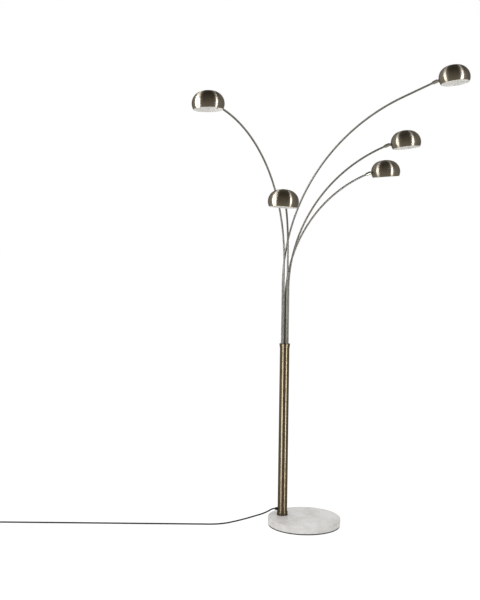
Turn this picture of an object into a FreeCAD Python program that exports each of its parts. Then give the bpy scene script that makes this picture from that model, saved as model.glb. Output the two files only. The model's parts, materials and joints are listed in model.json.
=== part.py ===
"""Arc floor lamp: a round marble base, an off-centre pole and five arched arms with dome shades.

Millimetres. The origin is the centre of the base's underside, on the floor.
+X is to the right and +Y away from whoever stands in front of the lamp, +Z is up.
"""
import FreeCAD
import Part
import math
import os
from FreeCAD import Placement, Rotation, Vector

# Base
BASE_D = 300.0
BASE_T = 29.0
BASE_EASE = 3.0
PAD_D = 297.0
PAD_T = 4.0
RECESS_D = 46.0
RECESS_DEPTH = 14.0

# Pole, its foot and its fixing
POLE_FROM_EDGE = 57.0
POLE_BEARING = 164.0
POLE_D = 40.0
POLE_WALL = 1.5
POLE_LENGTH = 712.0
FOOT_COLLAR_WALL = 2.2
FOOT_COLLAR_H = 16.0
FOOT_COLLAR_EASE = 1.0
BASE_BOLT_D = 12.0
BASE_BOLT_GRIP = 14.0
BASE_BOLT_HEAD_AF = 18.0
BASE_BOLT_HEAD_H = 7.5
BASE_WASHER_D = 38.0
BASE_WASHER_T = 3.0

# Cap that carries the arms
CAP_RIM = 2.4
CAP_FLANGE_T = 3.0
CAP_FLANGE_EASE = 1.0
CAP_SKIRT_H = 13.0
CAP_SKIRT_RIM = 0.8
CAP_SPIGOT_LENGTH = 24.0
CAP_BOSS_D = 12.0
ROOT_COLLAR_WALL = 1.2
ROOT_COLLAR_H = 8.0
PLATE_T = 5.0
CLAMP_BOLT_D = 6.0
CLAMP_BOLT_GRIP = 16.0
CLAMP_HEAD_AF = 10.0
CLAMP_HEAD_H = 5.0

# Each arm's straight rise above the cap, bend radius and straight end
UPPER_RISE = 248.0
UPPER_BEND_R = 836.0
UPPER_END = 126.0
LEFT_RISE = 341.0
LEFT_BEND_R = 620.0
FRONT_RISE = 369.0
FRONT_BEND_R = 235.0
MIDDLE_RISE = 225.6
MIDDLE_BEND_R = 656.0
LOWER_RISE = 184.0
LOWER_BEND_R = 579.0

# Arm tube and the knuckle at its tip
ARM_D = 8.0
ARM_WALL = 1.2
GROOVE_DEPTH = 0.5
GROOVE_W = 2.0
GROOVE_FROM_SHOULDER = 3.5
KNUCKLE_D = 14.0
KNUCKLE_NECK_D = 10.5
KNUCKLE_NECK_L = 5.0
KNUCKLE_BORE_DEPTH = 12.0
KNUCKLE_WEB = 2.5
WIRE_HOLE_D = 4.0
PIN_D = 4.0
GRUB_D = 3.0
GRUB_TIP_D = 1.6
TONGUE_T = 4.0
TONGUE_EYE_R = 5.5
STUD_FLANGE_D = 13.0
STUD_FLANGE_T = 2.5
STUD_D = 8.0

# Shade and lampholder
SHADE_D = 124.0
SHADE_CROWN_H = 49.6
SHADE_SKIRT_H = 22.0
SHADE_SHOULDER_R = 47.5
SHADE_SKIRT_R = 47.0
SHADE_WALL = 1.2
STUD_DROP = 1.7
NUT_D = 14.0
NUT_T = 5.0
HOLDER_D = 18.0
HOLDER_LENGTH = 24.0
HOLDER_NECK_D = 13.0
HOLDER_NECK_L = 6.0
HOLDER_SOCKET_DEPTH = 8.0
CONTACT_SLOT_W = 2.2
CONTACT_SLOT_H = 7.0
CONTACT_SLOT_DEPTH = 10.0
CONTACT_SPACING = 8.0

# Mains lead and what it enters
CORD_D = 6.0
GLAND_RISE = 25.0
GLAND_D = 12.0
GLAND_TIP_D = 8.0
GLAND_LENGTH = 10.0
GLAND_HEAD_LENGTH = 4.0
GLAND_NECK_D = 9.0
GLAND_LIP_D = 11.0
BLOCK_LENGTH = 20.0
BLOCK_WIDTH = 14.0
BLOCK_H = 16.0
BLOCK_SCREW_D = 3.5
BLOCK_SCREW_DEPTH = 5.0
BLOCK_SCREW_PITCH = 9.0
COIL_PITCH = 6.6
COIL_START_R = 39.6
COIL_REVERSAL_TURNS = 2.25
COIL_TURNS = 4.25
TIE_W = 5.0
TIE_T = 1.2
PLUG_W = 35.0
PLUG_T = 13.6
PLUG_LENGTH = 30.0
PLUG_NECK_W = 16.0
PLUG_NECK_T = 11.0
PLUG_WAIST_AT = 10.0
PLUG_WAIST_W = 25.0
PLUG_WAIST_T = 12.0
PLUG_NOSE_LENGTH = 22.0
PLUG_NOSE_D = 10.0
PLUG_NOSE_TIP_D = 7.2
PLUG_PIN_D = 4.0
PLUG_PIN_LENGTH = 19.0
PLUG_PIN_SPACING = 19.0

# Clearances
SLIP = 0.05
RUN = 0.05
SIDE = 0.15
AXIAL = 0.1
GAP = 0.3
THREAD_END = 1.0
BOLT_HOLE_SLACK = 0.5

# Each arm: bearing of its root on the cap's ring, heading, rise, bend radius, bend angle,
# straight end, drop of the head from the arm's line, roll of the head
ARMS = {
    "upper": (160.0, -23.0, UPPER_RISE, UPPER_BEND_R, 66.5, UPPER_END, 14.7, -2.9),
    "left": (232.0, -125.0, LEFT_RISE, LEFT_BEND_R, 74.4, 0.0, 12.7, 4.0),
    "front": (304.0, -98.0, FRONT_RISE, FRONT_BEND_R, 60.0, 0.0, 25.9, -2.9),
    "middle": (16.0, -9.0, MIDDLE_RISE, MIDDLE_BEND_R, 65.8, 0.0, 17.1, -2.7),
    "lower": (88.0, 12.0, LOWER_RISE, LOWER_BEND_R, 66.1, 0.0, 19.2, 0.0),
}

# Route of the lead from the gland's tip to the start of its coil: X and Y from that tip, Z from the floor
CORD_STEPS = [
    (0.0, 0.0, 58.0),
    (-11.0, 0.0, 58.0),
    (-29.1, -0.23, 46.5),
    (-53.6, -1.03, 35.5),
    (-85.6, -3.13, 26.5),
    (-122.6, -8.63, 16.5),
    (-166.6, -19.63, 8.0),
    (-211.6, -36.0, 3.0),
    (-255.6, -48.5, 3.0),
    (-1210.6, -67.5, 4.5),
]
TAIL_RUN = 18.0
ARC_SHARE = 0.45

# Places and sizes worked out from the values above
UP = Vector(0, 0, 1)
BASE_TOP = PAD_T + BASE_T
POLE_OFFSET = BASE_D / 2 - POLE_FROM_EDGE
POLE_AXIS = Vector(
    POLE_OFFSET * math.cos(math.radians(POLE_BEARING)),
    POLE_OFFSET * math.sin(math.radians(POLE_BEARING)),
    0,
)
POLE_BORE_D = POLE_D - 2 * POLE_WALL
POLE_TOP = BASE_TOP + POLE_LENGTH
CAP_TOP = POLE_TOP + CAP_FLANGE_T
SPIGOT_BOTTOM = POLE_TOP - CAP_SPIGOT_LENGTH
COLLAR_TOP = SPIGOT_BOTTOM - AXIAL
COLLAR_BOTTOM = COLLAR_TOP - ROOT_COLLAR_H
PLATE_TOP = COLLAR_BOTTOM - AXIAL
PLATE_BOTTOM = PLATE_TOP - PLATE_T
ROOT_COLLAR_D = ARM_D + 2 * ROOT_COLLAR_WALL
ROOT_RING_R = POLE_BORE_D / 2 - ROOT_COLLAR_D / 2 - GAP
ARM_BORE_D = ARM_D - 2 * ARM_WALL
GLAND_Z = BASE_TOP + GLAND_RISE
PLUG_INSERT_H = GLAND_RISE - BLOCK_H / 2
SLOT_START = KNUCKLE_BORE_DEPTH + KNUCKLE_WEB
PIN_X = SLOT_START + TONGUE_EYE_R + GAP
EAR_R = KNUCKLE_D / 2
FLANGE_X = EAR_R + GAP
WALL_X = FLANGE_X + STUD_FLANGE_T
SHADE_R = SHADE_D / 2
SHADE_CROWN_R = ((SHADE_R - SHADE_SHOULDER_R) ** 2 + SHADE_CROWN_H ** 2 - SHADE_SHOULDER_R ** 2) / (
    2 * (SHADE_CROWN_H - SHADE_SHOULDER_R)
)
SHADE_R_AT_STUD = SHADE_R - SHADE_SKIRT_R + math.sqrt(SHADE_SKIRT_R ** 2 - STUD_DROP ** 2)
SHADE_X = WALL_X + SHADE_R_AT_STUD
NUT_END_X = WALL_X + SHADE_WALL + NUT_T
GLAND_TIP = POLE_AXIS - Vector(POLE_D / 2 + GLAND_LENGTH, 0, 0)
CORD_ROUTE = [GLAND_TIP + Vector(*step) for step in CORD_STEPS]
COIL_CENTRE = CORD_ROUTE[-1] - Vector(0, COIL_START_R, 0)


def cylinder(diameter, length, start, axis=UP):
    return Part.makeCylinder(diameter / 2, length, start, axis)


def tube(outer, inner, length, start, axis=UP):
    return cylinder(outer, length, start, axis).cut(cylinder(inner, length, start, axis))


def circle_edges(shape, diameter, height):
    """The full circles of one diameter at one height."""
    found = []
    for edge in shape.Edges:
        curve = edge.Curve
        if isinstance(curve, Part.Circle):
            same_size = abs(curve.Radius - diameter / 2) < 1e-6
            if same_size and abs(curve.Center.z - height) < 1e-6:
                found.append(edge)
    return found


def hexagon_prism(across_flats, height, start, axis=UP):
    """A hex head whose flats are the given distance apart."""
    radius = across_flats / math.sqrt(3)
    corners = [
        Vector(radius * math.cos(math.radians(60 * i)), radius * math.sin(math.radians(60 * i)), 0)
        for i in range(7)
    ]
    prism = Part.Face(Part.makePolygon(corners)).extrude(UP * height)
    prism.Placement = Placement(start, Rotation(UP, axis))
    return prism


def centred_box(length, width, height, low_centre):
    """A box that starts at the middle of its low X face."""
    return Part.makeBox(length, width, height, low_centre - Vector(0, width / 2, height / 2))


def swept_tube(edges, diameter):
    """A round bar along a smooth wire of lines and arcs."""
    path = Part.Wire(edges)
    first = edges[0]
    start = first.valueAt(first.FirstParameter)
    along = first.tangentAt(first.FirstParameter)
    section = Part.Wire(Part.makeCircle(diameter / 2, start, along))
    return path.makePipeShell([section], True, False)


def at_pole(height):
    return POLE_AXIS + UP * height


def base_pad():
    """Soft underlay, open under the bolt."""
    return cylinder(PAD_D, PAD_T, Vector(0, 0, 0)).cut(cylinder(RECESS_D, PAD_T, at_pole(0)))


def marble_base():
    """Stone disc with eased edges, a bolt hole and a recess for the bolt head below."""
    disc = cylinder(BASE_D, BASE_T, Vector(0, 0, PAD_T))
    edges = circle_edges(disc, BASE_D, PAD_T) + circle_edges(disc, BASE_D, BASE_TOP)
    disc = disc.makeFillet(BASE_EASE, edges)
    hole = cylinder(BASE_BOLT_D + 2 * BOLT_HOLE_SLACK, BASE_T, at_pole(PAD_T))
    recess = cylinder(RECESS_D, RECESS_DEPTH, at_pole(PAD_T))
    return disc.cut(hole).cut(recess)


def base_washer():
    top = PAD_T + RECESS_DEPTH
    hole = BASE_BOLT_D + 2 * BOLT_HOLE_SLACK
    return tube(BASE_WASHER_D, hole, BASE_WASHER_T, at_pole(top - BASE_WASHER_T))


def base_bolt():
    head_top = PAD_T + RECESS_DEPTH - BASE_WASHER_T
    head = hexagon_prism(BASE_BOLT_HEAD_AF, BASE_BOLT_HEAD_H, at_pole(head_top - BASE_BOLT_HEAD_H))
    shank = cylinder(BASE_BOLT_D, BASE_TOP + BASE_BOLT_GRIP - head_top, at_pole(head_top))
    return head.fuse(shank).removeSplitter()


def pole_foot_insert():
    """Tapped plug in the pole's lower end."""
    plug = cylinder(POLE_BORE_D - 2 * SLIP, PLUG_INSERT_H, at_pole(BASE_TOP))
    return plug.cut(cylinder(BASE_BOLT_D, BASE_BOLT_GRIP + THREAD_END, at_pole(BASE_TOP)))


def foot_collar():
    outer = POLE_D + 2 * SLIP + 2 * FOOT_COLLAR_WALL
    ring = tube(outer, POLE_D + 2 * SLIP, FOOT_COLLAR_H, at_pole(BASE_TOP))
    return ring.makeFillet(FOOT_COLLAR_EASE, circle_edges(ring, outer, BASE_TOP + FOOT_COLLAR_H))


def pole_tube():
    wall = tube(POLE_D, POLE_BORE_D, POLE_LENGTH, at_pole(BASE_TOP))
    return wall.cut(cylinder(GLAND_NECK_D, POLE_D, at_pole(GLAND_Z), Vector(-1, 0, 0)))


def root_axis(bearing):
    turn = math.radians(bearing)
    return POLE_AXIS + Vector(ROOT_RING_R * math.cos(turn), ROOT_RING_R * math.sin(turn), 0)


def top_cap():
    """Flared cap over the pole's end, with a bore for each arm and a boss for the thrust plate."""
    flange_d = POLE_D + 2 * CAP_RIM
    flange = cylinder(flange_d, CAP_FLANGE_T, at_pole(POLE_TOP))
    flange = flange.makeFillet(CAP_FLANGE_EASE, circle_edges(flange, flange_d, CAP_TOP))
    skirt_low = at_pole(POLE_TOP - CAP_SKIRT_H)
    skirt = Part.makeCone(POLE_D / 2 + CAP_SKIRT_RIM, flange_d / 2, CAP_SKIRT_H, skirt_low)
    skirt = skirt.cut(cylinder(POLE_D + 2 * SLIP, CAP_SKIRT_H, skirt_low))
    spigot = cylinder(POLE_BORE_D - 2 * SLIP, CAP_SPIGOT_LENGTH, at_pole(SPIGOT_BOTTOM))
    boss = cylinder(CAP_BOSS_D, SPIGOT_BOTTOM - PLATE_TOP, at_pole(PLATE_TOP))
    cap = flange.fuse([skirt, spigot, boss]).removeSplitter()
    for bearing, *_ in ARMS.values():
        bore = cylinder(ARM_D + 2 * RUN, CAP_TOP - SPIGOT_BOTTOM, root_axis(bearing) + UP * SPIGOT_BOTTOM)
        cap = cap.cut(bore)
    return cap.cut(cylinder(CLAMP_BOLT_D, CLAMP_BOLT_GRIP + THREAD_END, at_pole(PLATE_TOP)))


def thrust_plate():
    """Plate under the root collars, with a hole for each arm's wires."""
    plate = cylinder(POLE_BORE_D - 2 * SLIP, PLATE_T, at_pole(PLATE_BOTTOM))
    for bearing, *_ in ARMS.values():
        plate = plate.cut(cylinder(ARM_BORE_D, PLATE_T, root_axis(bearing) + UP * PLATE_BOTTOM))
    return plate.cut(cylinder(CLAMP_BOLT_D, PLATE_T, at_pole(PLATE_BOTTOM)))


def clamp_bolt():
    head = hexagon_prism(CLAMP_HEAD_AF, CLAMP_HEAD_H, at_pole(PLATE_BOTTOM - CLAMP_HEAD_H))
    shank = cylinder(CLAMP_BOLT_D, PLATE_T + CLAMP_BOLT_GRIP, at_pole(PLATE_BOTTOM))
    return head.fuse(shank).removeSplitter()


def arm_path(rise, bend_r, bend_deg, end_run):
    """The arm's centre line in the plane of its bend: X outwards, Z up from the cap's top."""
    bend = math.radians(bend_deg)
    low = Vector(0, 0, COLLAR_BOTTOM - CAP_TOP)
    knee = Vector(0, 0, rise)
    half = Vector(bend_r * (1 - math.cos(bend / 2)), 0, rise + bend_r * math.sin(bend / 2))
    bend_end = Vector(bend_r * (1 - math.cos(bend)), 0, rise + bend_r * math.sin(bend))
    along = Vector(math.sin(bend), 0, math.cos(bend))
    shoulder = bend_end + along * end_run
    spigot_end = shoulder + along * (KNUCKLE_BORE_DEPTH - GAP)
    edges = [
        Part.LineSegment(low, knee).toShape(),
        Part.Arc(knee, half, bend_end).toShape(),
        Part.LineSegment(bend_end, spigot_end).toShape(),
    ]
    return edges, shoulder, along


def arm_tube(edges, shoulder, along):
    """Bent tube with a groove round its tip for the knuckle's grub screw."""
    arm = swept_tube(edges, ARM_D).cut(swept_tube(edges, ARM_BORE_D))
    at = shoulder + along * (KNUCKLE_NECK_L + GROOVE_FROM_SHOULDER - GROOVE_W / 2)
    return arm.cut(tube(ARM_D + 2 * GAP, ARM_D - 2 * GROOVE_DEPTH, GROOVE_W, at, along))


def root_collar():
    return tube(ROOT_COLLAR_D, ARM_D, ROOT_COLLAR_H, Vector(0, 0, COLLAR_BOTTOM - CAP_TOP))


def knuckle_envelope():
    """Round body along X, its far end rounded about the pin and its near end a slimmer neck."""
    full = cylinder(KNUCKLE_D, PIN_X + EAR_R, Vector(0, 0, 0), Vector(1, 0, 0))
    straight = centred_box(PIN_X, KNUCKLE_D, KNUCKLE_D, Vector(0, 0, 0))
    ears = cylinder(KNUCKLE_D, KNUCKLE_D, Vector(PIN_X, -KNUCKLE_D / 2, 0), Vector(0, 1, 0))
    body = full.common(straight.fuse(ears))
    return body.cut(tube(KNUCKLE_D + 2 * GAP, KNUCKLE_NECK_D, KNUCKLE_NECK_L, Vector(0, 0, 0), Vector(1, 0, 0)))


def grub_screw():
    """Screw from below whose tip runs in the arm's groove."""
    at = Vector(KNUCKLE_NECK_L + GROOVE_FROM_SHOULDER, 0, 0)
    down = Vector(0, 0, -1)
    body_start = ARM_D / 2 + RUN
    tip_start = ARM_D / 2 - GROOVE_DEPTH + AXIAL
    tip = cylinder(GRUB_TIP_D, body_start - tip_start, at + down * tip_start, down)
    body = cylinder(GRUB_D, EAR_R - body_start - GAP, at + down * body_start, down)
    return tip.fuse(body).removeSplitter()


def knuckle(envelope):
    """Swivel body: a bore for the arm's tip, a slot for the tongue and holes for pin and grub."""
    along = Vector(1, 0, 0)
    slot_w = TONGUE_T + 2 * SIDE
    slot = centred_box(PIN_X + EAR_R - SLOT_START, slot_w, KNUCKLE_D, Vector(SLOT_START, 0, 0))
    bore = cylinder(ARM_D + 2 * RUN, KNUCKLE_BORE_DEPTH, Vector(0, 0, 0), along)
    wire_hole = cylinder(WIRE_HOLE_D, SLOT_START, Vector(0, 0, 0), along)
    pin_hole = cylinder(PIN_D, KNUCKLE_D, Vector(PIN_X, -KNUCKLE_D / 2, 0), Vector(0, 1, 0))
    grub_hole = cylinder(GRUB_D, EAR_R, Vector(KNUCKLE_NECK_L + GROOVE_FROM_SHOULDER, 0, 0), Vector(0, 0, -1))
    return envelope.cut(slot).cut(bore).cut(wire_hole).cut(pin_hole).cut(grub_hole)


def knuckle_fixings(envelope):
    """The cross pin, flush with the ears, and the grub screw."""
    pin = cylinder(PIN_D, KNUCKLE_D, Vector(PIN_X, -KNUCKLE_D / 2, 0), Vector(0, 1, 0))
    return Part.makeCompound([pin.common(envelope), grub_screw()])


def dome(inset):
    """Filled dome about Z, its widest circle at height 0, its surface moved in by the given inset.

    The section is three tangent arcs: a crown centred on the axis, a tighter shoulder and the skirt.
    """
    shoulder_centre = Vector(SHADE_R - SHADE_SHOULDER_R, 0, 0)
    skirt_centre = Vector(SHADE_R - SHADE_SKIRT_R, 0, 0)
    crown_centre = Vector(0, 0, SHADE_CROWN_H - SHADE_CROWN_R)
    outward = (shoulder_centre - crown_centre).normalize()
    crown_r = SHADE_CROWN_R - inset
    shoulder_r = SHADE_SHOULDER_R - inset
    skirt_r = SHADE_SKIRT_R - inset
    top = crown_centre + UP * crown_r
    meet = crown_centre + outward * crown_r
    side = shoulder_centre + Vector(shoulder_r, 0, 0)
    rim = skirt_centre + Vector(math.sqrt(skirt_r ** 2 - SHADE_SKIRT_H ** 2), 0, -SHADE_SKIRT_H)
    edges = [
        Part.Arc(top, crown_centre + (UP + outward).normalize() * crown_r, meet).toShape(),
        Part.Arc(meet, shoulder_centre + (outward + Vector(1, 0, 0)).normalize() * shoulder_r, side).toShape(),
        Part.Arc(side, skirt_centre + (side + rim - skirt_centre * 2).normalize() * skirt_r, rim).toShape(),
        Part.makeLine(rim, Vector(0, 0, -SHADE_SKIRT_H)),
        Part.makeLine(Vector(0, 0, -SHADE_SKIRT_H), top),
    ]
    return Part.Face(Part.Wire(edges)).revolve(Vector(0, 0, 0), UP, 360)


def shade_solids():
    """The dome's outer and inner solids, placed about the tilt pin with X along the stud."""
    outer = dome(0)
    inner = dome(SHADE_WALL)
    for solid in (outer, inner):
        solid.translate(Vector(SHADE_X, 0, STUD_DROP))
    return outer, inner


def shade(outer, inner):
    shell = outer.cut(inner)
    return shell.cut(cylinder(STUD_D, SHADE_R, Vector(0, 0, 0), Vector(1, 0, 0)))


def tilt_stud(outer):
    """Tongue with an eye for the pin, a flange seated on the dome and a stud through its wall."""
    along = Vector(1, 0, 0)
    eye = cylinder(2 * TONGUE_EYE_R, TONGUE_T, Vector(0, -TONGUE_T / 2, 0), Vector(0, 1, 0))
    tongue = centred_box(FLANGE_X, TONGUE_T, 2 * TONGUE_EYE_R, Vector(0, 0, 0))
    flange = cylinder(STUD_FLANGE_D, STUD_FLANGE_D, Vector(FLANGE_X, 0, 0), along).cut(outer)
    flange = min(flange.Solids, key=lambda solid: solid.BoundBox.XMin)
    stud = cylinder(STUD_D, NUT_END_X + HOLDER_SOCKET_DEPTH - FLANGE_X, Vector(FLANGE_X, 0, 0), along)
    whole = tongue.fuse([eye, flange, stud]).removeSplitter()
    return whole.cut(cylinder(PIN_D + 2 * RUN, TONGUE_T, Vector(0, -TONGUE_T / 2, 0), Vector(0, 1, 0)))


def shade_nut(inner):
    """Round nut whose face is shaped to the inside of the dome."""
    nut = tube(NUT_D, STUD_D, NUT_END_X - WALL_X, Vector(WALL_X, 0, 0), Vector(1, 0, 0))
    return nut.common(inner)


def lampholder():
    """Ceramic holder on the stud's inner end, with two contact slots in its face."""
    along = Vector(1, 0, 0)
    neck = cylinder(HOLDER_NECK_D, HOLDER_NECK_L, Vector(NUT_END_X, 0, 0), along)
    body_x = NUT_END_X + HOLDER_NECK_L
    body = cylinder(HOLDER_D, HOLDER_LENGTH - HOLDER_NECK_L, Vector(body_x, 0, 0), along)
    whole = neck.fuse(body).removeSplitter()
    whole = whole.cut(cylinder(STUD_D, HOLDER_SOCKET_DEPTH, Vector(NUT_END_X, 0, 0), along))
    face_x = NUT_END_X + HOLDER_LENGTH
    for side in (-1, 1):
        low = Vector(face_x - CONTACT_SLOT_DEPTH, side * CONTACT_SPACING / 2, 0)
        whole = whole.cut(centred_box(CONTACT_SLOT_DEPTH, CONTACT_SLOT_W, CONTACT_SLOT_H, low))
    return whole


def cord_gland():
    """Tapered strain relief through the pole's wall, with a lip behind it."""
    out = Vector(-1, 0, 0)
    wall_out = at_pole(GLAND_Z) + out * (POLE_D / 2)
    head = cylinder(GLAND_D, GLAND_HEAD_LENGTH, wall_out, out)
    nose_length = GLAND_LENGTH - GLAND_HEAD_LENGTH
    nose = Part.makeCone(GLAND_D / 2, GLAND_TIP_D / 2, nose_length, wall_out + out * GLAND_HEAD_LENGTH, out)
    seat_depth = POLE_D / 2
    pole_bar = cylinder(POLE_D, 4 * GLAND_D, at_pole(GLAND_Z - 2 * GLAND_D))
    bore_bar = cylinder(POLE_BORE_D, 4 * GLAND_D, at_pole(GLAND_Z - 2 * GLAND_D))
    head_back = cylinder(GLAND_D, seat_depth, at_pole(GLAND_Z) + out * (seat_depth / 2), out).cut(pole_bar)
    neck_start = at_pole(GLAND_Z) + out * (BLOCK_LENGTH / 2)
    neck = cylinder(GLAND_NECK_D, POLE_D / 2 - BLOCK_LENGTH / 2, neck_start, out)
    lip = cylinder(GLAND_LIP_D, POLE_D / 2, neck_start, out).common(bore_bar)
    return head.cut(pole_bar).fuse([nose, head_back, neck, lip]).removeSplitter()


def terminal_block():
    """Connector block on the foot insert, where the lead meets the arms' wires."""
    low = Vector(-BLOCK_LENGTH / 2, 0, 0) + at_pole(GLAND_Z)
    block = centred_box(BLOCK_LENGTH, BLOCK_WIDTH, BLOCK_H, low)
    for side in (-1, 1):
        at = at_pole(GLAND_Z + BLOCK_H / 2 - BLOCK_SCREW_DEPTH) + Vector(side * BLOCK_SCREW_PITCH / 2, 0, 0)
        block = block.cut(cylinder(BLOCK_SCREW_D, BLOCK_SCREW_DEPTH, at))
    return block


def rounded_route(points):
    """Straight runs joined by tangent arcs, each as large as its runs allow, and the arcs' radii."""
    edges = []
    radii = []
    at = points[0]
    for before, corner, after in zip(points, points[1:], points[2:]):
        back = (before - corner).normalize()
        ahead = (after - corner).normalize()
        reach = ARC_SHARE * min((before - corner).Length, (after - corner).Length)
        half_turn = (math.pi - back.getAngle(ahead)) / 2
        radius = reach / math.tan(half_turn)
        inward = (back + ahead).normalize()
        middle = corner + inward * (radius / math.cos(half_turn) - radius)
        edges.append(Part.LineSegment(at, corner + back * reach).toShape())
        edges.append(Part.Arc(corner + back * reach, middle, corner + ahead * reach).toShape())
        radii.append(radius)
        at = corner + ahead * reach
    edges.append(Part.LineSegment(at, points[-1]).toShape())
    return edges, radii


def arc_between(start, apex, end):
    """The arc that leaves start and reaches end along the two equal sides that meet at apex."""
    middle = (start + end) * 0.5
    half_chord = (end - start).Length / 2
    half_turn = math.atan2((apex - middle).Length, half_chord)
    rise = half_chord * math.tan(half_turn / 2)
    return Part.Arc(start, middle + (apex - middle).normalize() * rise, end).toShape()


def biarc(start, start_dir, end, end_dir):
    """Two arcs that join two points, each with its own direction."""
    chord = end - start
    total = start_dir + end_dir
    spread = 2 * (1 - start_dir.dot(end_dir))
    lean = chord.dot(total)
    reach = (-lean + math.sqrt(lean * lean + spread * chord.dot(chord))) / spread
    first = start + start_dir * reach
    last = end - end_dir * reach
    joint = (first + last) * 0.5
    return [arc_between(start, first, joint), arc_between(joint, last, end)]


def coil_point(turns):
    """Place on the coil after so many turns: a flat spiral in, a climb, and a spiral out above it."""
    past = turns - COIL_REVERSAL_TURNS
    radius = COIL_START_R - COIL_PITCH * (COIL_REVERSAL_TURNS - abs(past))
    share = min(max(past * 2 + 0.5, 0.0), 1.0)
    climb = COIL_PITCH * share * share * (3 - 2 * share)
    angle = math.radians(90) + 2 * math.pi * turns
    return COIL_CENTRE + Vector(radius * math.cos(angle), radius * math.sin(angle), climb)


def coil_direction(turns):
    step = 1e-4
    return (coil_point(turns + step) - coil_point(turns - step)).normalize()


def coil_edges():
    """Biarcs of a quarter turn, with a straight lead of one diameter at each end."""
    quarters = round(COIL_TURNS * 4)
    stations = [i / 4 for i in range(quarters + 1)]
    places = [coil_point(t) for t in stations]
    ways = [coil_direction(t) for t in stations]
    ways[0] = (CORD_ROUTE[-1] - CORD_ROUTE[-2]).normalize()
    ways[-1] = Vector(0, -1, 0)
    begin = places[0] + ways[0] * CORD_D
    places[0] = begin
    edges = [Part.LineSegment(CORD_ROUTE[-1], begin).toShape()]
    for i in range(quarters):
        edges += biarc(places[i], ways[i], places[i + 1], ways[i + 1])
    edges.append(Part.LineSegment(places[-1], places[-1] + ways[-1] * CORD_D).toShape())
    return edges, places[-1] + ways[-1] * CORD_D


def least_gap(edges):
    """Least clear distance of the coil from itself, on points along it."""
    points = []
    for edge in edges:
        points += edge.discretize(Distance=2.0)[:-1]
    apart = int(math.pi * 2 * CORD_D / 2.0)
    least = COIL_START_R
    for i, a in enumerate(points):
        for b in points[i + apart:]:
            least = min(least, a.distanceToPoint(b))
    return least - CORD_D


def tail_route(start):
    """From the coil's end down to the plug, which lies on the floor."""
    drop = start.z - PLUG_T / 2
    return [
        start,
        start + Vector(0, -TAIL_RUN, 0),
        start + Vector(0, -2 * TAIL_RUN, -drop),
        start + Vector(0, -3 * TAIL_RUN, -drop),
    ]


def coil_tie():
    """Flat strap round the turns on the coil's far side from the lead's start."""
    inner_r = COIL_START_R - COIL_PITCH * COIL_REVERSAL_TURNS - CORD_D / 2
    outer_r = COIL_START_R + CORD_D / 2
    width = outer_r - inner_r + 2 * GAP
    height = COIL_PITCH + CORD_D + 2 * GAP
    centre = COIL_CENTRE + Vector(0, -(inner_r + outer_r) / 2, COIL_PITCH / 2)
    inside = Part.makeBox(TIE_W, width, height, centre - Vector(TIE_W / 2, width / 2, height / 2))
    outside = Part.makeBox(
        TIE_W,
        width + 2 * TIE_T,
        height + 2 * TIE_T,
        centre - Vector(TIE_W / 2, width / 2 + TIE_T, height / 2 + TIE_T),
    )
    return outside.cut(inside)


def plug_body(start):
    """Flat two-pin plug: a tapered nose over the cord, then a body that widens to its face."""
    along = Vector(0, -1, 0)
    nose = Part.makeCone(PLUG_NOSE_TIP_D / 2, PLUG_NOSE_D / 2, PLUG_NOSE_LENGTH, start, along)
    neck = start + along * PLUG_NOSE_LENGTH
    stations = (
        (0, PLUG_NECK_W, PLUG_NECK_T),
        (PLUG_WAIST_AT, PLUG_WAIST_W, PLUG_WAIST_T),
        (PLUG_LENGTH, PLUG_W, PLUG_T),
    )
    sections = []
    for distance, width, thick in stations:
        at = neck + along * distance
        w = width / 2
        t = thick / 2
        corners = [Vector(-w, 0, -t), Vector(w, 0, -t), Vector(w, 0, t), Vector(-w, 0, t), Vector(-w, 0, -t)]
        sections.append(Part.makePolygon([at + c for c in corners]))
    body = Part.makeLoft(sections, True, True)
    return body.fuse(nose).removeSplitter()


def plug_pins(start):
    along = Vector(0, -1, 0)
    face = start + along * (PLUG_NOSE_LENGTH + PLUG_LENGTH)
    pins = []
    for side in (-1, 1):
        pin = cylinder(PLUG_PIN_D, PLUG_PIN_LENGTH, face + Vector(side * PLUG_PIN_SPACING / 2, 0, 0), along)
        tip = [e for e in pin.Edges if abs(e.CenterOfMass.y - (face.y - PLUG_PIN_LENGTH)) < 1e-6]
        pins.append(pin.makeChamfer(PLUG_PIN_D / 4, tip))
    return Part.makeCompound(pins)


def placed(shape, placement):
    copy = shape.copy()
    copy.Placement = placement.multiply(copy.Placement)
    return copy


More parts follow.
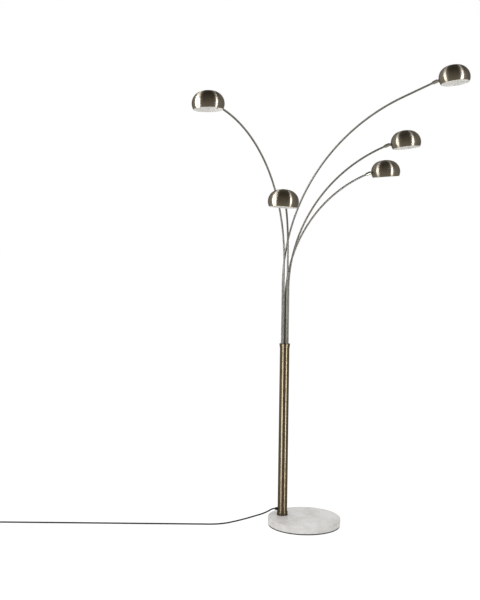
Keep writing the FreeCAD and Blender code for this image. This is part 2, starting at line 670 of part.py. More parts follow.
def build():
    """Every node of the lamp by name."""
    nodes = {
        "base_pad": base_pad(),
        "marble_base": marble_base(),
        "base_washer": base_washer(),
        "base_bolt": base_bolt(),
        "pole_foot_insert": pole_foot_insert(),
        "foot_collar": foot_collar(),
        "pole_tube": pole_tube(),
        "top_cap": top_cap(),
        "thrust_plate": thrust_plate(),
        "clamp_bolt": clamp_bolt(),
        "cord_gland": cord_gland(),
        "terminal_block": terminal_block(),
    }
    envelope = knuckle_envelope()
    outer, inner = shade_solids()
    tip_pieces = {"knuckle": knuckle(envelope), "knuckle_fixings": knuckle_fixings(envelope)}
    head_pieces = {
        "tilt_stud": tilt_stud(outer),
        "shade": shade(outer, inner),
        "shade_nut": shade_nut(inner),
        "lampholder": lampholder(),
    }
    for name, (bearing, heading, rise, bend_r, bend_deg, end_run, head_drop, roll) in ARMS.items():
        edges, shoulder, along = arm_path(rise, bend_r, bend_deg, end_run)
        root = Placement(root_axis(bearing) + UP * CAP_TOP, Rotation(UP, heading))
        nodes["arm_tube_" + name] = placed(arm_tube(edges, shoulder, along), root)
        nodes["root_collar_" + name] = placed(root_collar(), root)
        lift = Rotation(Vector(0, 1, 0), bend_deg - 90)
        tip = root.multiply(Placement(shoulder, lift.multiply(Rotation(Vector(1, 0, 0), roll))))
        for piece, shape in tip_pieces.items():
            nodes[piece + "_" + name] = placed(shape, tip)
        pin = tip.multiply(Placement(Vector(PIN_X, 0, 0), Rotation(Vector(0, 1, 0), head_drop)))
        for piece, shape in head_pieces.items():
            nodes[piece + "_" + name] = placed(shape, pin)
        turn_axis = tip.Rotation.multVec(Vector(1, 0, 0))
        tilt_axis = pin.Rotation.multVec(Vector(0, 1, 0))
        print(name, "root", root.Base, "tip", tip.Base, "swivel", turn_axis, "pin", pin.Base, "tilt", tilt_axis)

    run_edges, run_radii = rounded_route(CORD_ROUTE)
    wound_edges, coil_end = coil_edges()
    tail_points = tail_route(coil_end)
    tail_edges, tail_radii = rounded_route(tail_points)
    nodes["cord_run"] = swept_tube(run_edges, CORD_D)
    nodes["cord_coil"] = swept_tube(wound_edges, CORD_D)
    nodes["cord_tail"] = swept_tube(tail_edges, CORD_D)
    nodes["coil_tie"] = coil_tie()
    nodes["plug_body"] = plug_body(tail_points[-1])
    nodes["plug_pins"] = plug_pins(tail_points[-1])
    print("cord radii", [round(r, 1) for r in run_radii], "tail radii", [round(r, 1) for r in tail_radii])
    print("coil's least gap to itself %.2f" % least_gap(wound_edges))
    section = math.pi * CORD_D ** 2 / 4
    for name, edges in (("cord_run", run_edges), ("cord_coil", wound_edges), ("cord_tail", tail_edges)):
        length = sum(e.Length for e in edges)
        print(name, "length %.1f, volume share %.4f" % (length, nodes[name].Volume / (section * length)))
    return nodes


os.makedirs("parts", exist_ok=True)
for node, shape in build().items():
    shape.exportStep("parts/" + node + ".step")
    print(node, len(shape.Solids), shape.isValid(), round(shape.Volume, 1))
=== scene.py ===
"""Looks of an arc floor lamp: marble base, bronze pole, five arched arms and dome shades.

Metres, in the part's own frame: the base's centre is the origin, +X is to the right and +Y away
from the viewer, +Z is up.
"""
import json
import math

import bpy
import numpy as np
from mathutils import Matrix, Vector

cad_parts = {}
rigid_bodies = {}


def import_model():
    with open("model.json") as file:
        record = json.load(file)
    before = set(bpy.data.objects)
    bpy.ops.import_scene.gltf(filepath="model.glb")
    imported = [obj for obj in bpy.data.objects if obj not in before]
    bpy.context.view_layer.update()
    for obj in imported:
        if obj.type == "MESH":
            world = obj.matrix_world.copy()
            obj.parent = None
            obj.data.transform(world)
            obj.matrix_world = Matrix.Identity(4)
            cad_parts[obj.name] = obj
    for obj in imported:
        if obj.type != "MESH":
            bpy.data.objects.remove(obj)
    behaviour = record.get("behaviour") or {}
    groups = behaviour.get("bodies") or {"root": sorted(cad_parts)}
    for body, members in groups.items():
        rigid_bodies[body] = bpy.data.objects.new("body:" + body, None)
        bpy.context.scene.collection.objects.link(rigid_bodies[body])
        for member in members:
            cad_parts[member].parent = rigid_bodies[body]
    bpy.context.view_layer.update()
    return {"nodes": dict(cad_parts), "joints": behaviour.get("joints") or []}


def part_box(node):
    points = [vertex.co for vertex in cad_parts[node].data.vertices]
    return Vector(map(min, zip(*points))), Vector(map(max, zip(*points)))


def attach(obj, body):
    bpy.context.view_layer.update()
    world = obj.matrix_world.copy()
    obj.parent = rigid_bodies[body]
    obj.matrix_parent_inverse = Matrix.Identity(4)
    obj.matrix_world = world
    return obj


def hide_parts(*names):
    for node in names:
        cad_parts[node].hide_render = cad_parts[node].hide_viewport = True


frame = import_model()
JOINTS = {joint["name"]: joint for joint in frame["joints"]}
ARMS = ("upper", "left", "front", "middle", "lower")

# Sizes of the pieces that are made here, in metres, and how far each head drops from its arm, in degrees
ARM_R = 0.004
ARM_SPIGOT = 0.0117
STRAIGHT_END = {"upper": 0.126}
HEAD_DROP = {"upper": 14.7, "left": 12.7, "front": 25.9, "middle": 17.1, "lower": 19.2}
SHADE_R = 0.0620
SHADE_CROWN_H = 0.0496
SHADE_SKIRT_H = 0.0220
SHADE_SHOULDER_R = 0.0475
SHADE_SKIRT_R = 0.047
SHADE_WALL = 0.0012
PIN_TO_SHADE = 0.0098
STUD_DROP = 0.0017
POLE_R = 0.020
POLE_WALL = 0.0015
COLLAR_WALL = 0.0022
COLLAR_EASE = 0.001
COLLAR_GAP = 0.0001
BASE_EASE = 0.003
CORD_D = 0.006
COIL_PITCH = 0.0066
COIL_START_R = 0.0396
COIL_REVERSAL = 2.25
COIL_TURNS = 4.25
COIL_POINTS_PER_TURN = 16

# Rows along the pieces and columns round them
SHADE_COLUMNS = 160
CROWN_ROWS = 40
SKIRT_ROWS = 24
LIP_ROWS = 9
ARM_COLUMNS = 32
ARM_BEND_ROWS = 97
ARM_STRAIGHT_ROWS = 24
POLE_COLUMNS = 128
POLE_ROWS = 60
BASE_COLUMNS = 192
BASE_ROWS = 24
EASE_ROWS = 9
AXIS_HOLE_R = 0.0005
CROWN_START = math.radians(89.7)

# Route of the lead from the gland to its coil, then from the coil down to the plug
CORD_ROUTE = [
    (-0.1194, 0.02563, 0.0580),
    (-0.1304, 0.02563, 0.0580),
    (-0.1485, 0.0254, 0.0465),
    (-0.1730, 0.0246, 0.0355),
    (-0.2050, 0.0225, 0.0265),
    (-0.2420, 0.0170, 0.0165),
    (-0.2860, 0.0060, 0.0080),
    (-0.3310, -0.01037, 0.0030),
    (-0.3750, -0.02287, 0.0030),
    (-0.4190, -0.0238, 0.0031),
    (-1.3300, -0.04187, 0.0045),
]
TAIL_RUN = 0.018
PLUG_AXIS_Z = 0.0068

# Camera: level, with the picture's frame moved down the way the photograph is framed
CAMERA_AT = (-0.279, -4.363, 1.274)
CAMERA_LENS = 63.0
CAMERA_SENSOR = 36.0
CAMERA_TURN = -0.83
CAMERA_SHIFT = (-0.0020, -0.1383)

# Tint of plated metal where it is seen almost edge on, and the sizes of the slow patterns in millimetres
EDGE_TINT = "#a5a3a0"
PLATING_CLOUD_MM = 45.45
MARBLE_WARP_MM = 111.1
MARBLE_VEIN_MM = 58.82
MARBLE_FADE_MM = 142.9
MARBLE_CLOUD_MM = 71.43

# Light of the background on matt things, size of the floor, and how much of it glows and how strongly
BACKGROUND_LIGHT = 0.80
FLOOR_REACH = 30.0
FLOOR_GLOW_SHARE = 0.84
FLOOR_GLOW = 1.1

# Cards that only the metal mirrors: name, colour and corners
CARDS = (
    ("card_behind_camera", "#9e9889", [(-8, -5.5, 0.02), (8, -5.5, 0.02), (8, -5.5, 5), (-8, -5.5, 5)]),
    ("card_overhead", "#5f5850", [(-4, -5.5, 5), (4, -5.5, 5), (4, 1.5, 4.2), (-4, 1.5, 4.2)]),
    ("card_on_floor", "#d6cfc0", [(-4, -5.5, 0.02), (4, -5.5, 0.02), (4, 1.5, 0.02), (-4, 1.5, 0.02)]),
    ("card_at_left", "#fdf8f0", [(-3.4, 2.5, 0.02), (-3.4, -0.4, 0.02), (-3.4, -0.4, 4), (-3.4, 2.5, 4)]),
    ("card_at_right", "#cfccc6", [(3.2, -0.9, 0.02), (3.2, 2.5, 0.02), (3.2, 2.5, 4), (3.2, -0.9, 4)]),
)

# Lights: name, what they light, place, turn and lean in degrees, width, height and radiance. Strips show
# only as gloss on the pieces that LIT names or on the rest, and the boxes light only the matt surfaces
LIGHTS = (
    ("left_strip", "rest", (-2.60, -0.70, 1.7), -80, 22, 1.0, 2.2, 15.0),
    ("right_strip", "rest", (2.14, -1.64, 1.6), 53, -6, 0.42, 2.6, 20.0),
    ("near_left_strip", "left_shades", (-2.38, -0.85, 1.7), -76, 0, 1.5, 2.2, 10.0),
    ("pole_left_strip", "pole", (-0.60, -0.525, 0.36), -42, 0, 0.33, 0.68, 11.0),
    ("pole_right_strip", "pole", (0.64, -0.65, 0.36), 47, 0, 0.225, 0.68, 19.0),
    ("left_box", "matt", (-2.15, -1.50, 1.5), -57, 22, 1.8, 2.6, 1.75),
    ("right_box", "matt", (2.25, -1.50, 1.5), 57, -22, 1.8, 2.6, 1.2),
)
LIT = {
    "pole": ("pole", "pole_foot_ring", "top_cap"),
    "left_shades": ("dome_shade_left", "dome_shade_front"),
}
# The rest is every piece but the pole's, which have strips of their own, and the marble, which has none
OUT_OF_REST = LIT["pole"] + ("marble_disc",)


def linear(hex_colour):
    """sRGB hex to linear red, green, blue and alpha 1."""
    parts = [int(hex_colour[i:i + 2], 16) / 255 for i in (1, 3, 5)]
    return [c / 12.92 if c <= 0.04045 else ((c + 0.055) / 1.055) ** 2.4 for c in parts] + [1.0]


def add(tree, kind, inputs=None, **settings):
    """Adds a node, sets its properties, and sets or links its inputs."""
    node = tree.nodes.new(kind)
    for name, value in settings.items():
        setattr(node, name, value)
    for name, value in (inputs or {}).items():
        if isinstance(value, bpy.types.NodeSocket):
            tree.links.new(value, node.inputs[name])
        else:
            node.inputs[name].default_value = value
    return node


def new_material(name):
    """An empty node material, its tree and its surface shader."""
    material = bpy.data.materials.new(name)
    material.use_nodes = True
    tree = material.node_tree
    return material, tree, tree.nodes["Principled BSDF"]


def ramp(tree, factor, stops):
    """A colour ramp with the given positions and linear colours."""
    node = add(tree, "ShaderNodeValToRGB", {"Fac": factor})
    elements = node.color_ramp.elements
    while len(elements) < len(stops):
        elements.new(0.5)
    for element, (position, colour) in zip(elements, stops):
        element.position = position
        element.color = colour
    return node.outputs["Color"]


def brushed_bronze(name, dark, light, roughness, stretch, line_mm, length_m, depth):
    """Steel, brushed round the piece and plated bronze: highlights draw out across the fine lines.

    The lines are a one-dimensional noise along the piece (UV v), a few tenths of a millimetre wide in
    the real thing and drawn here at line_mm so that they show; a slow cloud varies the plating. The
    anisotropy is turned a quarter so that the gloss is wide across the lines and narrow along them.
    """
    material, tree, shader = new_material(name)
    uv = add(tree, "ShaderNodeUVMap", uv_map="UVMap")
    split = add(tree, "ShaderNodeSeparateXYZ", {"Vector": uv.outputs["UV"]})
    place = add(tree, "ShaderNodeTexCoord")
    lines = add(
        tree, "ShaderNodeTexNoise",
        {"W": split.outputs["Y"], "Scale": 1000 * length_m / line_mm, "Detail": 3.0, "Roughness": 0.7},
        noise_dimensions="1D",
    )
    cloud = add(
        tree, "ShaderNodeTexNoise",
        {"Vector": place.outputs["Object"], "Scale": 1000 / PLATING_CLOUD_MM, "Detail": 4.0},
    )
    tone = add(
        tree, "ShaderNodeMix", {"Factor": 0.45, "A": cloud.outputs["Fac"], "B": lines.outputs["Fac"]},
        data_type="FLOAT",
    )
    colour = ramp(tree, tone.outputs["Result"], [(0.30, linear(dark)), (0.70, linear(light))])
    rough = add(
        tree, "ShaderNodeMapRange",
        {"Value": lines.outputs["Fac"], "To Min": roughness - 0.06, "To Max": roughness + 0.06},
    )
    bump = add(
        tree, "ShaderNodeBump",
        {"Height": lines.outputs["Fac"], "Strength": depth, "Distance": 0.0002},
    )
    tangent = add(tree, "ShaderNodeTangent", direction_type="UV_MAP", uv_map="UVMap")
    shader.inputs["Metallic"].default_value = 1.0
    shader.inputs["Specular Tint"].default_value = linear(EDGE_TINT)
    shader.inputs["Anisotropic"].default_value = stretch
    shader.inputs["Anisotropic Rotation"].default_value = 0.25
    tree.links.new(colour, shader.inputs["Base Color"])
    tree.links.new(rough.outputs["Result"], shader.inputs["Roughness"])
    tree.links.new(bump.outputs["Normal"], shader.inputs["Normal"])
    tree.links.new(tangent.outputs["Tangent"], shader.inputs["Tangent"])
    return material


def plain_metal(name, dark, light, roughness, grain_mm, turned=False):
    """Machined or plated steel on the small fittings: an even metal with a fine, cloudy plating.

    A turned piece has its gloss drawn out along its upright axis, across the marks of the tool.
    """
    material, tree, shader = new_material(name)
    place = add(tree, "ShaderNodeTexCoord")
    grain = add(
        tree, "ShaderNodeTexNoise",
        {"Vector": place.outputs["Object"], "Scale": 1000 / grain_mm, "Detail": 3.0},
    )
    colour = ramp(tree, grain.outputs["Fac"], [(0.35, linear(dark)), (0.65, linear(light))])
    rough = add(
        tree, "ShaderNodeMapRange",
        {"Value": grain.outputs["Fac"], "To Min": roughness - 0.05, "To Max": roughness + 0.08},
    )
    shader.inputs["Metallic"].default_value = 1.0
    shader.inputs["Specular Tint"].default_value = linear(EDGE_TINT)
    if turned:
        tangent = add(tree, "ShaderNodeTangent", direction_type="RADIAL", axis="Z")
        shader.inputs["Anisotropic"].default_value = 0.95
        shader.inputs["Anisotropic Rotation"].default_value = 0.25
        tree.links.new(tangent.outputs["Tangent"], shader.inputs["Tangent"])
    tree.links.new(colour, shader.inputs["Base Color"])
    tree.links.new(rough.outputs["Result"], shader.inputs["Roughness"])
    return material


def fine_grained(name, dark, light, roughness, ior, grain_mm, depth_mm, gloss=0.5):
    """Paint, moulded plastic, rubber or ceramic: a matt to satin skin with a fine even grain."""
    material, tree, shader = new_material(name)
    place = add(tree, "ShaderNodeTexCoord")
    grain = add(
        tree, "ShaderNodeTexNoise",
        {"Vector": place.outputs["Object"], "Scale": 1000 / grain_mm, "Detail": 4.0, "Roughness": 0.6},
    )
    colour = ramp(tree, grain.outputs["Fac"], [(0.30, linear(dark)), (0.70, linear(light))])
    rough = add(
        tree, "ShaderNodeMapRange",
        {"Value": grain.outputs["Fac"], "To Min": roughness - 0.05, "To Max": roughness + 0.05},
    )
    bump = add(
        tree, "ShaderNodeBump",
        {"Height": grain.outputs["Fac"], "Strength": 0.3, "Distance": depth_mm / 1000},
    )
    shader.inputs["IOR"].default_value = ior
    shader.inputs["Specular IOR Level"].default_value = gloss
    tree.links.new(colour, shader.inputs["Base Color"])
    tree.links.new(rough.outputs["Result"], shader.inputs["Roughness"])
    tree.links.new(bump.outputs["Normal"], shader.inputs["Normal"])
    return material


def honed_marble():
    """White marble, sawn and honed: pale cloudy ground with thin grey veins that wander and fade.

    The Mix nodes' sockets are given by number, because their names repeat for each type of data.
    """
    material, tree, shader = new_material("honed_marble")
    place = add(tree, "ShaderNodeTexCoord")
    turned = add(
        tree, "ShaderNodeMapping",
        {"Vector": place.outputs["Object"], "Rotation": (0.5, 0.3, 0.7)},
    )
    warp = add(
        tree, "ShaderNodeTexNoise",
        {"Vector": turned.outputs["Vector"], "Scale": 1000 / MARBLE_WARP_MM, "Detail": 5.0, "Roughness": 0.6},
    )
    bent = add(
        tree, "ShaderNodeMix",
        {0: 0.16, 4: turned.outputs["Vector"], 5: warp.outputs["Color"]},
        data_type="VECTOR",
    )
    veins = add(
        tree, "ShaderNodeTexVoronoi", {"Vector": bent.outputs[1], "Scale": 1000 / MARBLE_VEIN_MM},
        feature="DISTANCE_TO_EDGE",
    )
    line = add(
        tree, "ShaderNodeMapRange",
        {"Value": veins.outputs["Distance"], "From Min": 0.0, "From Max": 0.05, "To Min": 1.0, "To Max": 0.0},
        interpolation_type="SMOOTHSTEP",
    )
    fade = add(
        tree, "ShaderNodeTexNoise",
        {"Vector": turned.outputs["Vector"], "Scale": 1000 / MARBLE_FADE_MM, "Detail": 2.0},
    )
    strength = add(
        tree, "ShaderNodeMapRange",
        {"Value": fade.outputs["Fac"], "From Min": 0.45, "From Max": 0.7, "To Min": 0.0, "To Max": 0.5},
    )
    amount = add(
        tree, "ShaderNodeMath", {0: line.outputs["Result"], 1: strength.outputs["Result"]},
        operation="MULTIPLY",
    )
    cloud = add(
        tree, "ShaderNodeTexNoise",
        {"Vector": bent.outputs[1], "Scale": 1000 / MARBLE_CLOUD_MM, "Detail": 6.0, "Roughness": 0.62},
    )
    ground = ramp(
        tree, cloud.outputs["Fac"],
        [(0.28, linear("#bdbab6")), (0.50, linear("#d3d1ce")), (0.72, linear("#e0dedc"))],
    )
    colour = add(
        tree, "ShaderNodeMix",
        {0: amount.outputs["Value"], 6: ground, 7: linear("#8d8b88")},
        data_type="RGBA",
    )
    tree.links.new(colour.outputs[2], shader.inputs["Base Color"])
    shader.inputs["Roughness"].default_value = 0.38
    shader.inputs["IOR"].default_value = 1.5
    return material


def grid_piece(name, points, closed_across, materials, material_rows=None):
    """A mesh from a grid of points, rows along the piece and columns round it.

    Quads join neighbouring rows and columns and the columns close on themselves. With closed_across
    the rows close too; without it each end is closed by a fan about the middle of its row. UV u runs
    round the piece and v along it.
    """
    rows, columns = points.shape[:2]
    vertices = points.reshape(-1, 3)
    last = rows if closed_across else rows - 1
    i = np.repeat(np.arange(last), columns)
    j = np.tile(np.arange(columns), last)
    below = (i + 1) % rows
    beside = (j + 1) % columns
    here, next_row = i * columns, below * columns
    quads = np.stack([here + j, here + beside, next_row + beside, next_row + j], 1)
    quad_uv = np.stack(
        [
            np.stack([j / columns, i / last], 1),
            np.stack([(j + 1) / columns, i / last], 1),
            np.stack([(j + 1) / columns, (i + 1) / last], 1),
            np.stack([j / columns, (i + 1) / last], 1),
        ],
        1,
    )
    faces = quads.tolist()
    uv = [quad_uv.reshape(-1, 2)]
    face_rows = i
    if not closed_across:
        ends = np.stack([points[0].mean(0), points[-1].mean(0)])
        vertices = np.vstack([vertices, ends])
        around = np.arange(columns)
        after = (around + 1) % columns
        start = rows * columns
        low = np.stack([np.full(columns, start), after, around], 1)
        top = (rows - 1) * columns
        high = np.stack([np.full(columns, start + 1), top + around, top + after], 1)
        faces += low.tolist() + high.tolist()
        middle = (around + 0.5) / columns
        for v, first, second in ((0.0, after, around), (1.0, around, after)):
            corner = np.stack([middle, np.full(columns, v)], 1)
            one = np.stack([first / columns, np.full(columns, v)], 1)
            two = np.stack([second / columns, np.full(columns, v)], 1)
            uv.append(np.stack([corner, one, two], 1).reshape(-1, 2))
        face_rows = np.concatenate([i, np.zeros(columns, int), np.full(columns, last - 1)])
    mesh = bpy.data.meshes.new(name)
    mesh.from_pydata(vertices.tolist(), [], faces)
    layer = mesh.uv_layers.new(name="UVMap")
    layer.data.foreach_set("uv", np.concatenate(uv).astype(np.float32).ravel())
    mesh.polygons.foreach_set("use_smooth", np.ones(len(faces), bool))
    for material in materials:
        mesh.materials.append(material)
    if material_rows is not None:
        mesh.polygons.foreach_set("material_index", material_rows[face_rows].astype(np.int32))
    mesh.update()
    piece = bpy.data.objects.new(name, mesh)
    bpy.context.scene.collection.objects.link(piece)
    return piece


def turned_points(profile, centre, across, beside, axis, columns):
    """Points of a turned surface: centre + radius (cos t across + sin t beside) + height axis."""
    t = np.arange(columns) * 2 * np.pi / columns
    ring = np.outer(np.cos(t), across) + np.outer(np.sin(t), beside)
    return centre + profile[:, 0, None, None] * ring[None] + profile[:, 1, None, None] * np.asarray(axis)


def arc(centre, radius, start, end, count):
    """Points of an arc in the profile's plane, by angle from the radius direction."""
    angle = np.linspace(start, end, count)
    return np.stack([centre[0] + radius * np.cos(angle), centre[1] + radius * np.sin(angle)], 1)


def upright(profile, centre, columns=POLE_COLUMNS):
    """A turned surface about an upright axis through centre."""
    return turned_points(profile, np.array(centre), (1, 0, 0), (0, 1, 0), (0, 0, 1), columns)


def dome_profile(inset):
    """Half section of the dome from its crown to its rim: crown, shoulder and skirt are tangent arcs."""
    shoulder = SHADE_R - SHADE_SHOULDER_R
    crown_r = (shoulder ** 2 + SHADE_CROWN_H ** 2 - SHADE_SHOULDER_R ** 2) / (
        2 * (SHADE_CROWN_H - SHADE_SHOULDER_R)
    )
    crown = (0.0, SHADE_CROWN_H - crown_r)
    meet = math.atan2(-crown[1], shoulder)
    skirt_r = SHADE_SKIRT_R - inset
    skirt_end = -math.asin(SHADE_SKIRT_H / skirt_r)
    return np.vstack([
        arc(crown, crown_r - inset, CROWN_START, meet, CROWN_ROWS)[:-1],
        arc((shoulder, 0.0), SHADE_SHOULDER_R - inset, meet, 0.0, CROWN_ROWS)[:-1],
        arc((SHADE_R - SHADE_SKIRT_R, 0.0), skirt_r, 0.0, skirt_end, SKIRT_ROWS),
    ])


def head_axes(arm):
    """The tilt pin and the head's own axes: along the stud, along the pin and up."""
    swivel = np.array(JOINTS["swivel_" + arm]["axis"])
    pin_axis = np.array(JOINTS["tilt_" + arm]["axis"])
    drop = math.radians(HEAD_DROP[arm])
    along = math.cos(drop) * swivel - math.sin(drop) * np.cross(swivel, pin_axis)
    return np.array(JOINTS["tilt_" + arm]["pos_m"]), along, pin_axis, np.cross(along, pin_axis)


def make_shade(arm, outside, inside):
    """Spun dome: the outer profile down to the rim, a round rim, and the inner profile back up."""
    pin, along, pin_axis, up = head_axes(arm)
    reach = PIN_TO_SHADE + SHADE_R - SHADE_SKIRT_R + math.sqrt(SHADE_SKIRT_R ** 2 - STUD_DROP ** 2)
    outer = dome_profile(0.0)
    inner = dome_profile(SHADE_WALL)[::-1]
    edge = (outer[-1] + inner[0]) / 2
    lip = arc(edge, SHADE_WALL / 2, 0.0, -math.pi, LIP_ROWS)[1:-1]
    profile = np.vstack([outer, lip, inner])
    points = turned_points(profile, pin + reach * along + STUD_DROP * up, along, pin_axis, up, SHADE_COLUMNS)
    material_rows = np.zeros(len(profile), int)
    material_rows[len(outer) + len(lip) - 2:] = 1
    shade = grid_piece("dome_shade_" + arm, points, False, [outside, inside], material_rows)
    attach(shade, "head_" + arm)
    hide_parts("shade_" + arm)


def make_arm(arm, metal):
    """Bent tube: a circle carried up a straight rise, round one arc and along a straight end."""
    root = np.array(JOINTS["turn_" + arm]["pos_m"])
    tip = np.array(JOINTS["swivel_" + arm]["pos_m"])
    along = np.array(JOINTS["swivel_" + arm]["axis"])
    outward = np.array([along[0], along[1], 0.0]) / math.hypot(along[0], along[1])
    beside = np.cross(outward, (0, 0, 1))
    bend = math.acos(along[2])
    bend_end = tip - along * STRAIGHT_END.get(arm, 0.0)
    radius = (bend_end - root) @ outward / (1 - math.cos(bend))
    knee = bend_end[2] - radius * math.sin(bend)
    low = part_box("arm_tube_" + arm)[0].z
    end_run = STRAIGHT_END.get(arm, 0.0) + ARM_SPIGOT
    straight = np.zeros(ARM_STRAIGHT_ROWS)
    angle = np.concatenate([straight, np.linspace(0, bend, ARM_BEND_ROWS), straight + bend])
    run = np.concatenate([
        np.linspace(low - knee, 0, ARM_STRAIGHT_ROWS + 1)[:-1],
        np.zeros(ARM_BEND_ROWS),
        np.linspace(0, end_run, ARM_STRAIGHT_ROWS + 1)[1:],
    ])
    centre = np.array([root[0], root[1], knee])
    centre = centre + np.outer(radius * (1 - np.cos(angle)) + run * np.sin(angle), outward)
    centre = centre + np.outer(radius * np.sin(angle) + run * np.cos(angle), (0, 0, 1))
    normal = np.outer(np.cos(angle), outward) - np.outer(np.sin(angle), (0, 0, 1))
    t = np.arange(ARM_COLUMNS) * 2 * np.pi / ARM_COLUMNS
    ring = np.cos(t)[None, :, None] * normal[:, None, :] + np.sin(t)[None, :, None] * -beside
    piece = grid_piece("bent_arm_" + arm, centre[:, None, :] + ARM_R * ring, False, [metal])
    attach(piece, "arm_" + arm)
    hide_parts("arm_tube_" + arm)


def make_marble(marble):
    """Turned disc with both edges eased by a quarter arc."""
    low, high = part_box("marble_base")
    radius = (high.x - low.x + high.y - low.y) / 4
    inner = radius - BASE_EASE
    across = np.linspace(AXIS_HOLE_R, inner, BASE_ROWS)
    profile = np.vstack([
        np.stack([across[:-1], np.full(BASE_ROWS - 1, low.z)], 1),
        arc((inner, low.z + BASE_EASE), BASE_EASE, -math.pi / 2, 0.0, EASE_ROWS),
        arc((inner, high.z - BASE_EASE), BASE_EASE, 0.0, math.pi / 2, EASE_ROWS),
        np.stack([across[-2::-1], np.full(BASE_ROWS - 1, high.z)], 1),
    ])
    disc = grid_piece("marble_disc", upright(profile, (0, 0, 0), BASE_COLUMNS), False, [marble])
    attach(disc, "stand")
    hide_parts("marble_base")


def make_pole(metal, collar_metal):
    """The pole's tube and the eased collar round its foot, turned about the pole's axis."""
    low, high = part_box("pole_tube")
    centre = ((low.x + high.x) / 2, (low.y + high.y) / 2, 0)
    heights = np.linspace(low.z, high.z, POLE_ROWS)
    wall = np.vstack([
        np.stack([np.full(POLE_ROWS, POLE_R), heights], 1),
        np.stack([np.full(POLE_ROWS, POLE_R - POLE_WALL), heights[::-1]], 1),
    ])
    tube = grid_piece("pole", upright(wall, centre), True, [metal])
    foot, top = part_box("foot_collar")
    outer = POLE_R + COLLAR_WALL
    ring = np.vstack([
        [(outer, foot.z)],
        arc((outer - COLLAR_EASE, top.z - COLLAR_EASE), COLLAR_EASE, 0.0, math.pi / 2, EASE_ROWS),
        [(POLE_R + COLLAR_GAP, top.z), (POLE_R + COLLAR_GAP, foot.z)],
    ])
    collar = grid_piece("pole_foot_ring", upright(ring, centre), True, [collar_metal])
    for piece, node in ((tube, "pole_tube"), (collar, "foot_collar")):
        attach(piece, "stand")
        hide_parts(node)


def coil_points():
    """The coil: a flat spiral in, a climb of one pitch in the half turn where it reverses, and out again."""
    count = round(COIL_TURNS * COIL_POINTS_PER_TURN)
    turns = np.arange(count + 1) / COIL_POINTS_PER_TURN
    past = turns - COIL_REVERSAL
    radius = COIL_START_R - COIL_PITCH * (COIL_REVERSAL - np.abs(past))
    share = np.clip(past * 2 + 0.5, 0, 1)
    angle = math.pi / 2 + 2 * math.pi * turns
    x, y, z = CORD_ROUTE[-1]
    return np.stack([
        x + radius * np.cos(angle),
        y - COIL_START_R + radius * np.sin(angle),
        z + COIL_PITCH * share * share * (3 - 2 * share),
    ], 1)


def make_cord(rubber):
    """The lead on one smooth spline: along its route, round its coil and down to the plug."""
    coil = coil_points()
    end = coil[-1] + (0, -CORD_D, 0)
    drop = end[2] - PLUG_AXIS_Z
    tail = [
        end,
        end + (0, -TAIL_RUN, 0),
        end + (0, -2 * TAIL_RUN, -drop),
        end + (0, -3 * TAIL_RUN, -drop),
    ]
    points = np.vstack([CORD_ROUTE[:-1], coil, tail])
    curve = bpy.data.curves.new("mains_lead", "CURVE")
    curve.dimensions = "3D"
    curve.bevel_depth = CORD_D / 2
    curve.bevel_resolution = 5
    curve.resolution_u = 8
    curve.use_fill_caps = True
    spline = curve.splines.new("NURBS")
    spline.points.add(len(points) - 1)
    spline.points.foreach_set("co", np.hstack([points, np.ones((len(points), 1))]).astype(np.float32).ravel())
    spline.order_u = 3
    spline.use_endpoint_u = True
    curve.materials.append(rubber)
    lead = bpy.data.objects.new("mains_lead", curve)
    bpy.context.scene.collection.objects.link(lead)
    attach(lead, "stand")
    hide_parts("cord_run", "cord_coil", "cord_tail")


def make_camera():
    """A level camera at the photograph's viewing angle."""
    camera = bpy.data.cameras.new("camera")
    camera.lens = CAMERA_LENS
    camera.sensor_width = CAMERA_SENSOR
    camera.shift_x, camera.shift_y = CAMERA_SHIFT
    holder = bpy.data.objects.new("camera", camera)
    holder.location = CAMERA_AT
    holder.rotation_euler = (math.pi / 2, math.radians(CAMERA_TURN), 0)
    bpy.context.scene.collection.objects.link(holder)
    bpy.context.scene.camera = holder


def flat_panel(name, corners, material):
    """A four-cornered stage panel."""
    mesh = bpy.data.meshes.new(name)
    mesh.from_pydata(corners, [], [(0, 1, 2, 3)])
    mesh.materials.append(material)
    panel = bpy.data.objects.new(name, mesh)
    bpy.context.scene.collection.objects.link(panel)
    return panel


def seen_or_mirrored(tree):
    """1 for rays from the camera, off metal or through glass, 0 for the light that falls on things."""
    path = add(tree, "ShaderNodeLightPath")
    either = add(
        tree, "ShaderNodeMath",
        {0: path.outputs["Is Camera Ray"], 1: path.outputs["Is Glossy Ray"]}, operation="ADD", use_clamp=True,
    )
    return add(
        tree, "ShaderNodeMath",
        {0: either.outputs["Value"], 1: path.outputs["Is Transmission Ray"]}, operation="ADD", use_clamp=True,
    ).outputs["Value"]


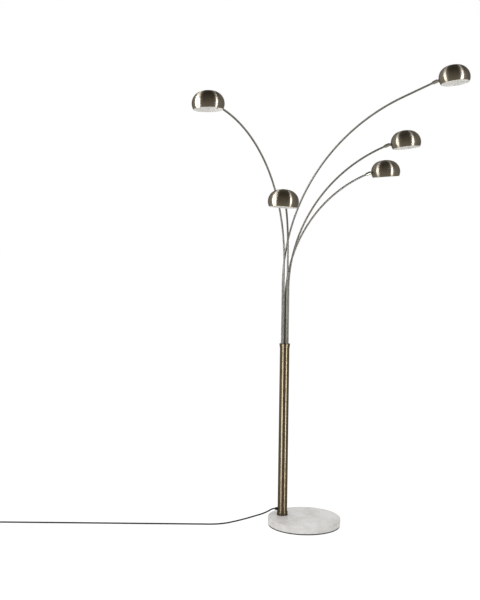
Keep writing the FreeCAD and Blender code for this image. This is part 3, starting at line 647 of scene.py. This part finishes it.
def make_studio():
    """White floor and background, soft boxes for the matt surfaces, strips and cards for the metal.

    The metal's own rays find the floor, the background and the cards, so that none of the light
    samples goes to them and the strips come out with less noise.
    """
    world = bpy.data.worlds.new("studio")
    bpy.context.scene.world = world
    world.use_nodes = True
    tree = world.node_tree
    background = tree.nodes["Background"]
    background.inputs["Color"].default_value = linear("#ffffff")
    level = add(
        tree, "ShaderNodeMapRange",
        {"Value": seen_or_mirrored(tree), "To Min": BACKGROUND_LIGHT, "To Max": 1.0},
    )
    tree.links.new(level.outputs["Result"], background.inputs["Strength"])
    world.cycles.sampling_method = "NONE"

    paper, tree, shader = new_material("white_floor_paper")
    paper.cycles.emission_sampling = "NONE"
    shader.inputs["Base Color"].default_value = linear("#f4f4f4")
    shader.inputs["Roughness"].default_value = 0.9
    shader.inputs["Specular IOR Level"].default_value = 0.0
    glow = add(tree, "ShaderNodeEmission", {"Color": linear("#ffffff"), "Strength": FLOOR_GLOW})
    share = add(
        tree, "ShaderNodeMath", {0: seen_or_mirrored(tree), 1: FLOOR_GLOW_SHARE}, operation="MULTIPLY",
    )
    mixed = add(
        tree, "ShaderNodeMixShader",
        {0: share.outputs["Value"], 1: shader.outputs["BSDF"], 2: glow.outputs["Emission"]},
    )
    tree.links.new(mixed.outputs["Shader"], tree.nodes["Material Output"].inputs["Surface"])
    far = FLOOR_REACH
    flat_panel("floor", [(-far, -far, 0), (far, -far, 0), (far, far, 0), (-far, far, 0)], paper)

    for name, colour, corners in CARDS:
        card, tree, _ = new_material(name)
        card.cycles.emission_sampling = "NONE"
        glow = add(tree, "ShaderNodeEmission", {"Color": linear(colour), "Strength": 1.0})
        tree.links.new(glow.outputs["Emission"], tree.nodes["Material Output"].inputs["Surface"])
        panel = flat_panel(name, corners, card)
        panel.visible_camera = False
        panel.visible_diffuse = False
        panel.visible_shadow = False
        panel.visible_transmission = False

    lit = {group: bpy.data.collections.new("lit_" + group) for group in [*LIT, "rest"]}
    for piece in bpy.context.scene.objects:
        for group, names in LIT.items():
            if piece.name in names:
                lit[group].objects.link(piece)
        if piece.name not in OUT_OF_REST:
            lit["rest"].objects.link(piece)
    for name, lights, place, turn, lean, width, height, radiance in LIGHTS:
        lamp = bpy.data.lights.new(name, "AREA")
        lamp.shape = "RECTANGLE"
        lamp.size = width
        lamp.size_y = height
        lamp.energy = radiance * math.pi * width * height
        box = bpy.data.objects.new(name, lamp)
        box.location = place
        facing = Matrix.Rotation(math.radians(turn), 4, "Z") @ Matrix.Rotation(math.pi / 2, 4, "X")
        box.rotation_euler = (facing @ Matrix.Rotation(math.radians(lean), 4, "Z")).to_euler()
        box.visible_glossy = lights in lit
        box.visible_diffuse = lights not in lit
        box.visible_camera = False
        if lights in lit:
            box.light_linking.receiver_collection = lit[lights]
        bpy.context.scene.collection.objects.link(box)


def dress_cad(finishes):
    """Gives each CAD piece that stays its finish, by the start of its name: the last that fits holds."""
    for name, node in frame["nodes"].items():
        for start, finish in finishes.items():
            if name.startswith(start):
                node.data.materials.clear()
                node.data.materials.append(finish)


shade_bronze = brushed_bronze("brushed_bronze_on_shades", "#736e65", "#857f75", 0.33, 1.0, 0.9, 0.19, 0.03)
pole_bronze = brushed_bronze("brushed_bronze_on_pole", "#5d5547", "#6d6453", 0.30, 1.0, 1.2, 1.43, 0.03)
arm_bronze = brushed_bronze("brushed_bronze_on_arms", "#6d6c68", "#7b7a76", 0.42, 0.6, 1.0, 1.2, 0.0)
fitting_bronze = plain_metal("bronze_plated_fittings", "#98968f", "#aaa8a1", 0.28, 2.0)
cap_bronze = plain_metal("turned_bronze_cap", "#5d5547", "#6d6453", 0.30, 2.0, True)
zinc = plain_metal("zinc_plated_steel", "#9a9b99", "#b4b5b2", 0.35, 1.5)
enamel = fine_grained("white_enamel", "#f1efec", "#f6f5f2", 0.55, 1.5, 1.2, 0.004, 0.2)
foam = fine_grained("black_foam_rubber", "#161616", "#242424", 0.85, 1.45, 0.8, 0.1)
pvc = fine_grained("black_pvc", "#0f0f10", "#1b1b1c", 0.45, 1.5, 0.7, 0.03, 0.2)
polyamide = fine_grained("white_polyamide", "#dedcd5", "#eae8e2", 0.5, 1.53, 0.8, 0.03)
steatite = fine_grained("steatite_ceramic", "#e4e0d6", "#f1eee6", 0.4, 1.6, 0.6, 0.02)
marble = honed_marble()

make_camera()
make_cord(pvc)
make_marble(marble)
make_pole(pole_bronze, cap_bronze)
for arm in ARMS:
    make_arm(arm, arm_bronze)
    make_shade(arm, shade_bronze, enamel)
dress_cad({
    "base_pad": foam,
    "base_washer": zinc,
    "base_bolt": zinc,
    "pole_foot_insert": zinc,
    "top_cap": cap_bronze,
    "thrust_plate": zinc,
    "clamp_bolt": zinc,
    "cord_gland": pvc,
    "terminal_block": polyamide,
    "root_collar": zinc,
    "knuckle": fitting_bronze,
    "knuckle_fixings": zinc,
    "tilt_stud": fitting_bronze,
    "shade_nut": zinc,
    "lampholder": steatite,
    "coil_tie": pvc,
    "plug_body": pvc,
    "plug_pins": zinc,
})
make_studio()
bpy.context.scene.view_settings.view_transform = "Standard"
